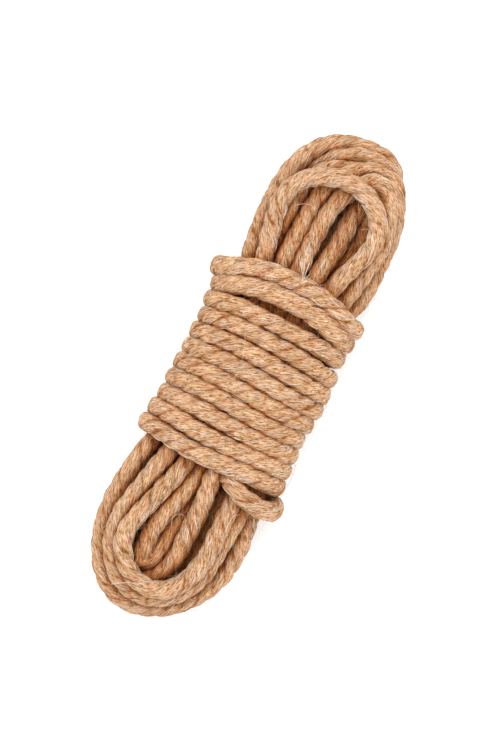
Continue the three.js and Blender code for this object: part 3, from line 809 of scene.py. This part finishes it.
def make_bundles(plies, spots, number, material):
    """Bundles of fibres that come out of a ply's skin, cross it and go back in."""
    share = np.linspace(-0.5, 0.5, BUNDLE_POINTS)[None]
    paths, crests, openness = [], [], []
    for ply, rows in zip(plies, bundle_spots(plies, spots)):
        count = len(rows)
        lengths = rng.uniform(*BUNDLE_LENGTHS, (count, 1))
        climb = rng.normal(FIBRE_CLIMB, CLIMB_SPREAD, (count, 1))
        turns = rows[:, 1:2] + climb * lengths * share
        heights = rng.uniform(*BUNDLE_RISES, (count, 1)) * (1 - (2 * share) ** 2)
        ends = np.where(np.abs(share) > 0.49, rng.normal(*BUNDLE_ENDS, (count, BUNDLE_POINTS)), 0)
        places = rows[:, :1] + lengths / STEP_LENGTH * share
        paths.append(ply.surface(places, turns, heights + ends))
        crests.append(np.cos(turns))
        openness.append(rows[:, 2])
    paths = np.concatenate(paths)
    paths[:, :, 2] = np.maximum(paths[:, :, 2], BUNDLE_RADII[1])
    radii = BUNDLE_RADII[0] + (BUNDLE_RADII[1] - BUNDLE_RADII[0]) * rng.random(len(paths)) ** THINNESS
    vertices, faces = swept_hairs(paths, radii)
    piece = new_mesh_object(f"fibre_bundles_{number + 1}", vertices, faces, material)
    add_values(piece, "tone", np.repeat(rng.random(len(paths)), BUNDLE_POINTS * HAIR_SIDES))
    # The open and crest values set the painted shade in crevices and grooves
    add_values(piece, "open", np.repeat(np.concatenate(openness), BUNDLE_POINTS * HAIR_SIDES))
    add_values(piece, "crest", np.repeat(np.concatenate(crests).ravel(), HAIR_SIDES))


def grown_paths(roots, kind):
    """Curved paths that leave the surface and bend at random, of shape hairs by points by 3."""
    starts, directions, outs = roots
    lengths = rng.uniform(*kind["lengths"], kind["count"])
    lifts = rng.uniform(*kind["lifts"], (kind["count"], 1))
    steps = (lengths / (kind["points"] - 1))[:, None]
    curls = kind["curl"]
    bends = unit(rng.normal(size=starts.shape)) * curls * rng.uniform(0.2, 1, (len(starts), 1))
    heading = unit(directions + outs * lifts)
    paths = [starts]
    for _ in range(kind["points"] - 1):
        paths.append(paths[-1] + heading * steps)
        heading = unit(heading + bends)
    grown = np.stack(paths, axis=1)
    grown[:, :, 2] = np.maximum(grown[:, :, 2], LOWEST_HAIR)
    return grown


def hair_roots(spots, kind):
    """Where hairs start, the way of the fibres there and the way out of the surface; and the openness."""
    rope = spots.rope
    rings, angles, openness = spots.random_spots(kind["count"], kind["reach"], kind["gap"])
    tangents = rope.tangents[rings]
    outs = rope.outwards(angles, rings)
    rounds = np.cross(tangents, outs)
    slants = rng.normal(*HAIR_SLANTS, (kind["count"], 1))
    forwards = np.where(rng.random((kind["count"], 1)) < 0.5, 1.0, -1.0)
    directions = unit((tangents - rounds * slants) * forwards)
    starts = rope.points[rings] + outs * (ROPE_RADIUS - ROOT_DEPTH)
    return (starts, directions, outs), openness


def make_hairs(name, spots, kind, material):
    """A piece of tapered hairs of one kind, each in its own tone."""
    roots, openness = hair_roots(spots, kind)
    paths = grown_paths(roots, kind)
    vertices, faces = swept_hairs(paths, rng.uniform(*kind["radii"], kind["count"]))
    piece = new_mesh_object(name, vertices, faces, material)
    points_each = kind["points"] * HAIR_SIDES
    add_values(piece, "tone", np.repeat(rng.random(kind["count"]), points_each))
    # The open values set the painted crevice shade
    add_values(piece, "open", np.repeat(openness, points_each))


def stray_path(spots, places, lift):
    """A smooth path over places, given as (x, y), that lies on the rope and bridges its gaps."""
    flat = curve_pieces(np.column_stack([np.array(places), np.zeros(len(places))]), STRAY_STEPS)
    flat -= np.array(BOX_MIDDLE)
    tops = np.array([spots.top(x, y) for x, y, _ in flat])
    for _ in range(3):
        wide = np.pad(tops, 1, mode="edge")
        tops = np.maximum(tops, (wide[:-2] + wide[2:]) / 2)
    flat[:, 2] = tops + lift
    return flat


def make_strays(spots, material):
    """The single fibres, tufts and flecks that stand out on the front."""
    vertices, faces, tones = [], [], []
    for radius, tone, lift, places in STRAYS:
        path = stray_path(spots, places, lift)
        points, quads = swept_hairs(path[None], np.array([radius]))
        faces += [tuple(corner + len(tones) for corner in face) for face in quads]
        vertices.append(points)
        tones += [tone] * len(points)
    piece = new_mesh_object("strays", np.concatenate(vertices), faces, material)
    add_values(piece, "tone", np.array(tones))
    # Open everywhere: no painted crevice shade on the strays
    add_values(piece, "open", np.ones(len(tones)))


class Nodes:
    """A material's node tree, with short ways to add and link nodes."""

    def __init__(self, name):
        self.material = bpy.data.materials.new(name)
        self.material.use_nodes = True
        self.tree = self.material.node_tree
        self.shader = self.tree.nodes["Principled BSDF"]

    def add(self, kind, **settings):
        node = self.tree.nodes.new(kind)
        for key, value in settings.items():
            setattr(node, key, value)
        return node

    def link(self, output, socket):
        self.tree.links.new(output, socket)

    def noise(self, vector, scale, detail=3.0, roughness=0.55):
        """Noise over a vector that is first stretched by scale, of three numbers."""
        stretch = self.add("ShaderNodeVectorMath", operation="MULTIPLY")
        stretch.inputs[1].default_value = scale
        self.link(vector, stretch.inputs[0])
        node = self.add("ShaderNodeTexNoise")
        node.inputs["Scale"].default_value = 1.0
        node.inputs["Detail"].default_value = detail
        node.inputs["Roughness"].default_value = roughness
        self.link(stretch.outputs[0], node.inputs["Vector"])
        return node.outputs["Fac"]

    def ramp(self, value, stops):
        """A colour ramp over value; stops are (position, colour)."""
        node = self.add("ShaderNodeValToRGB")
        elements = node.color_ramp.elements
        while len(elements) < len(stops):
            elements.new(0.5)
        for element, (position, colour) in zip(elements, stops):
            element.position = position
            element.color = (*colour, 1.0)
        self.link(value, node.inputs["Fac"])
        return node.outputs["Color"]

    def mix(self, factor, first, second, blend="MIX"):
        """Two colours mixed; factor, first and second are sockets or plain values."""
        node = self.add("ShaderNodeMix", data_type="RGBA", blend_type=blend)
        for value, socket in ((factor, node.inputs[0]), (first, node.inputs[6]), (second, node.inputs[7])):
            if isinstance(value, bpy.types.NodeSocket):
                self.link(value, socket)
            else:
                socket.default_value = value
        return node.outputs[2]

    def math(self, operation, first, second=0.0, third=0.0):
        """A math node over sockets or plain numbers."""
        node = self.add("ShaderNodeMath", operation=operation)
        for value, socket in zip((first, second, third), node.inputs):
            if isinstance(value, bpy.types.NodeSocket):
                self.link(value, socket)
            else:
                socket.default_value = value
        return node.outputs[0]

    def finish_fibres(self):
        """A dull surface with a soft pale sheen where it is seen from the side."""
        inputs = self.shader.inputs
        inputs["Roughness"].default_value = FIBRE_ROUGHNESS
        inputs["Specular IOR Level"].default_value = 0.0
        inputs["Sheen Weight"].default_value = SHEEN
        inputs["Sheen Roughness"].default_value = SHEEN_ROUGHNESS
        inputs["Sheen Tint"].default_value = SHEEN_TINT


def painted_crevice_shade(nodes, colour):
    """The colour with painted shade, deeper and redder, where other lengths of rope block the outlook."""
    openness = nodes.add("ShaderNodeAttribute", attribute_name="open").outputs["Fac"]
    return nodes.mix(1.0, colour, nodes.ramp(openness, PAINTED_CREVICE_SHADES), "MULTIPLY")


def painted_groove_shade(nodes, colour, unevenness):
    """The colour with painted shade, deeper and redder and uneven, in the grooves between plies."""
    crest = nodes.add("ShaderNodeAttribute", attribute_name="crest").outputs["Fac"]
    centred = nodes.math("SUBTRACT", unevenness, 0.5)
    uneven_crest = nodes.math("MULTIPLY_ADD", centred, GROOVE_UNEVENNESS, crest)
    return nodes.mix(1.0, colour, nodes.ramp(uneven_crest, PAINTED_GROOVE_SHADES), "MULTIPLY")


def rope_material():
    """Coarse tan fibres that run along the rope, with brown flecks, paler fibres and slow patches, and
    painted shade in the ply grooves and in crevices.
    """
    nodes = Nodes("linen_rope_fibres")
    fibres = nodes.add("ShaderNodeUVMap", uv_map="Fibres").outputs["UV"]
    place = nodes.add("ShaderNodeTexCoord").outputs["Object"]
    fine = nodes.noise(fibres, FINE_NOISE, 4.0, 0.7)
    yarn = nodes.noise(fibres, YARN_NOISE, 2.0)
    patches = nodes.noise(place, PATCH_NOISE)
    hues = nodes.noise(place, HUE_NOISE, 2.0)
    flecks = nodes.noise(fibres, FLECK_NOISE, 1.0)

    colour = nodes.ramp(fine, SKIN_TONES)
    for noise, shades in ((yarn, YARN_SHADES), (patches, PATCH_SHADES), (hues, HUE_SHADES)):
        colour = nodes.mix(1.0, colour, nodes.ramp(noise, shades), "MULTIPLY")
    colour = nodes.mix(nodes.ramp(flecks, FLECK_SHARES), colour, FLECK_COLOUR)
    # Painted shade in the ply grooves, and where other lengths of rope block the outlook
    colour = painted_crevice_shade(nodes, painted_groove_shade(nodes, colour, patches))
    nodes.link(colour, nodes.shader.inputs["Base Color"])

    height = nodes.math("MULTIPLY_ADD", yarn, YARN_BUMP, fine)
    bump = nodes.add("ShaderNodeBump")
    bump.inputs["Strength"].default_value = 1.0
    bump.inputs["Distance"].default_value = BUMP_HEIGHT * MM
    nodes.link(height, bump.inputs["Height"])
    nodes.link(bump.outputs["Normal"], nodes.shader.inputs["Normal"])
    nodes.finish_fibres()
    return nodes.material


def fibres_in_tones(name, tones, in_skin):
    """Separate fibres, each in its own tone, with painted shade where other lengths of rope block the
    outlook; those in a ply's skin also get painted shade in its grooves.
    """
    nodes = Nodes(name)
    tone = nodes.add("ShaderNodeAttribute", attribute_name="tone").outputs["Fac"]
    colour = nodes.ramp(tone, tones)
    if in_skin:
        place = nodes.add("ShaderNodeTexCoord").outputs["Object"]
        # Painted shade in the grooves between plies
        colour = painted_groove_shade(nodes, colour, nodes.noise(place, PATCH_NOISE))
    # Painted shade where other lengths of rope block the outlook
    nodes.link(painted_crevice_shade(nodes, colour), nodes.shader.inputs["Base Color"])
    nodes.finish_fibres()
    return nodes.material


def make_floor():
    """A plain white floor, which isn't part of the object."""
    mesh = bpy.data.meshes.new("floor")
    half = FLOOR_SIZE / 2
    corners = [(-half, -half), (half, -half), (half, half), (-half, half)]
    mesh.from_pydata([(x, y, FLOOR_LEVEL) for x, y in corners], [], [(0, 1, 2, 3)])
    nodes = Nodes("white_floor")
    nodes.shader.inputs["Base Color"].default_value = (FLOOR_WHITE, FLOOR_WHITE, FLOOR_WHITE, 1.0)
    nodes.shader.inputs["Roughness"].default_value = 0.9
    mesh.materials.append(nodes.material)
    floor = bpy.data.objects.new("floor", mesh)
    bpy.context.collection.objects.link(floor)


def make_softbox(name, place, power):
    """A square area light that looks at the hank."""
    light = bpy.data.lights.new(name, "AREA")
    light.size = SOFTBOX_SIZE
    light.energy = power
    lamp = bpy.data.objects.new(name, light)
    lamp.location = place
    lamp.rotation_euler = (-lamp.location).to_track_quat("-Z", "Y").to_euler()
    bpy.context.collection.objects.link(lamp)


def make_light():
    """Soft white light from all round, with large softboxes overhead."""
    world = bpy.data.worlds.new("studio")
    world.use_nodes = True
    background = world.node_tree.nodes["Background"]
    background.inputs["Color"].default_value = (1.0, 1.0, 1.0, 1.0)
    background.inputs["Strength"].default_value = WORLD_LIGHT
    bpy.context.scene.world = world
    for name, place, power in SOFTBOXES:
        make_softbox(name, place, power)
    bpy.context.scene.view_settings.view_transform = "Standard"


def make_camera():
    """A camera straight above, turned so that the hank leans as in the picture."""
    data = bpy.data.cameras.new("camera")
    data.sensor_fit = "VERTICAL"
    data.sensor_height = 36.0
    data.lens = data.sensor_height * CAMERA_DISTANCE / VIEW_HEIGHT
    camera = bpy.data.objects.new("camera", data)
    camera.location = (VIEW_MIDDLE[0], VIEW_MIDDLE[1], VIEW_MIDDLE[2] + CAMERA_DISTANCE)
    camera.rotation_euler = (0.0, 0.0, LEAN)
    bpy.context.collection.objects.link(camera)
    bpy.context.scene.camera = camera


make_camera()
make_floor()
make_light()
rope = Rope()
plies = [Ply(rope, number) for number in range(PLIES)]
spots = OpenSpots(rope)
fibre_material = rope_material()
for number, ply in enumerate(plies):
    make_ply(spots, ply, number, fibre_material)
bundle_material = fibres_in_tones("fibre_bundles", BUNDLE_TONES, True)
for part in range(BUNDLE_PIECES):
    make_bundles(plies, spots, part, bundle_material)
loose_material = fibres_in_tones("loose_fibres", LOOSE_TONES, False)
make_hairs("fuzz", spots, FUZZ, loose_material)
make_hairs("long_hairs", spots, LONG_HAIRS, loose_material)
make_strays(spots, loose_material)
